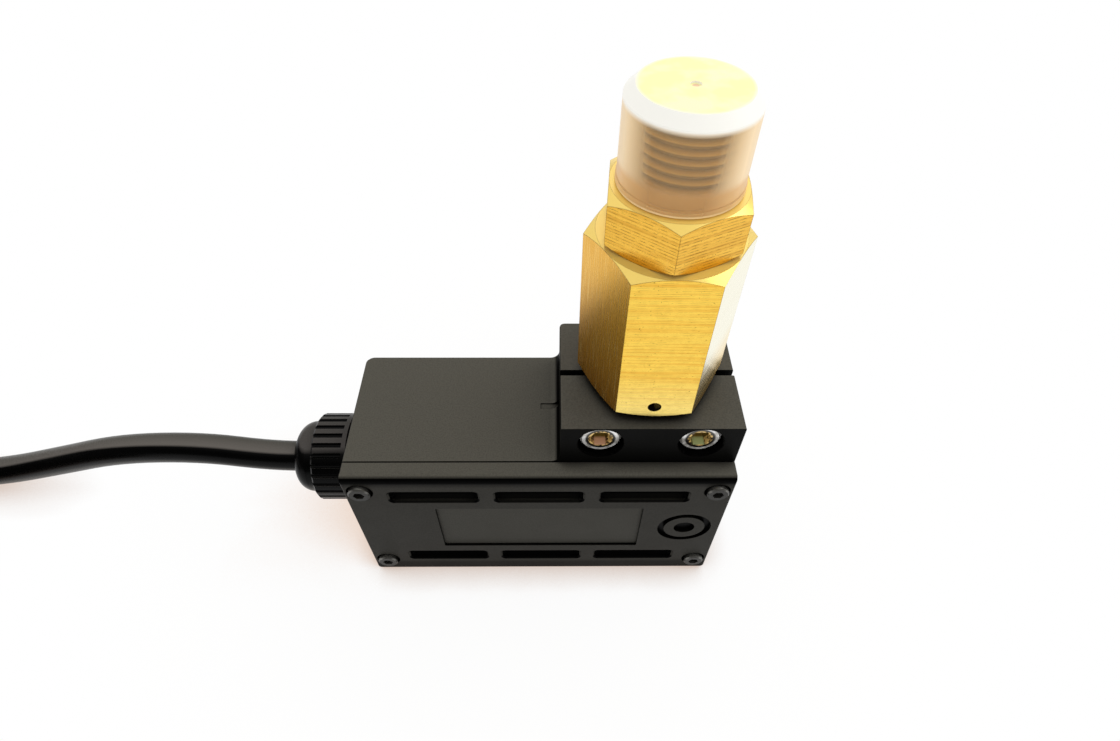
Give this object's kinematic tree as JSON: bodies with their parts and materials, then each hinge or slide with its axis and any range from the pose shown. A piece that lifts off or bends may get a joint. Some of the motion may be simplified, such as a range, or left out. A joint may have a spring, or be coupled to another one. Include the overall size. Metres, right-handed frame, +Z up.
{
  "type": "pump pressure sensor",
  "caption": "Piston pressure switch: brass hexagon unit clamped upright in a black moulded housing, capped pipe thread on top, cable leaving sideways through a fluted gland.",
  "frame": {"origin": "on the flat base of the housing, straight under the axis of the brass unit", "axes": "+Z up along the brass unit to its threaded inlet, -Y out of the screwed front cover, -X out of the cable gland"},
  "size_m": [0.3261, 0.1156, 0.1362],
  "materials": {
    "black_nylon": "satin, fine moulded grain",
    "gland_nylon": "satin",
    "seal_rubber": "matt",
    "dark_steel": "black oxide, lightly oiled",
    "zinc_steel": "bright zinc, iridescent passivation",
    "brass": "turned and milled, bare",
    "bronze": "sintered, oiled",
    "stainless_steel": "ground",
    "spring_steel": "drawn wire",
    "white_ptfe": "matt",
    "natural_polyethylene": "translucent, waxy",
    "switch_case_plastic": "moulded, semi-gloss",
    "red_nylon": "moulded",
    "tinned_copper": "tin plated",
    "clear_sleeve": "soft insulating sleeve",
    "cable_pvc": "semi-gloss, smooth",
    "brown_pvc": "semi-gloss",
    "black_pvc": "semi-gloss",
    "blue_pvc": "semi-gloss",
    "grey_pvc": "semi-gloss, told apart by colour in the render"
  },
  "bodies": {
    "sensor_body": {"housing": "black_nylon", "front_cover": "black_nylon", "gland_body": "gland_nylon", "gland_nut": "gland_nylon", "gland_locknut": "gland_nylon", "coil_tie": "gland_nylon", "cover_gasket": "seal_rubber", "gland_washer": "seal_rubber", "gland_seal": "seal_rubber", "neck_o_ring": "seal_rubber", "adapter_o_ring": "seal_rubber", "piston_o_ring": "seal_rubber", "cover_screws": "dark_steel", "clamp_screws": "zinc_steel", "clamp_nuts": "zinc_steel", "switch_screws": "zinc_steel", "pressure_body": "brass", "inlet_adapter": "brass", "cover_inserts": "brass", "stem_bush": "bronze", "pressure_spring": "spring_steel", "backup_ring": "white_ptfe", "switch_case": "switch_case_plastic", "switch_blades": "tinned_copper", "end_ferrules": "tinned_copper", "blade_sleeves": "clear_sleeve", "cable_sheath": "cable_pvc", "cable": "cable_pvc", "cable_coil": "cable_pvc", "cable_tail": "cable_pvc", "lead_brown": "brown_pvc", "lead_black": "black_pvc", "lead_blue": "blue_pvc", "end_cores": "grey_pvc"},
    "piston_group": {"piston": "stainless_steel", "spring_seat": "stainless_steel", "push_stem": "stainless_steel"},
    "plunger": {"switch_plunger": "red_nylon"},
    "cap": {"thread_cap": "natural_polyethylene"}
  },
  "joints": [
    {"name": "piston_stroke", "type": "slide", "parent": "sensor_body", "child": "piston_group", "axis": [0, 0, -1], "range_m": [0, 0.0016], "stiffness_N_per_m": 9400, "springref_m": -0.006, "deforming": ["pressure_spring"]},
    {"name": "plunger_travel", "type": "slide", "parent": "sensor_body", "child": "plunger", "axis": [0, 0, -1], "range_m": [0, 0.0016]},
    {"name": "cap_pull", "type": "slide", "parent": "sensor_body", "child": "cap", "axis": [0, 0, 1], "range_m": [0, 0.06]}
  ],
  "couplings": [
    {"joint": "plunger_travel", "follows": "piston_stroke", "ratio": 1}
  ]
}
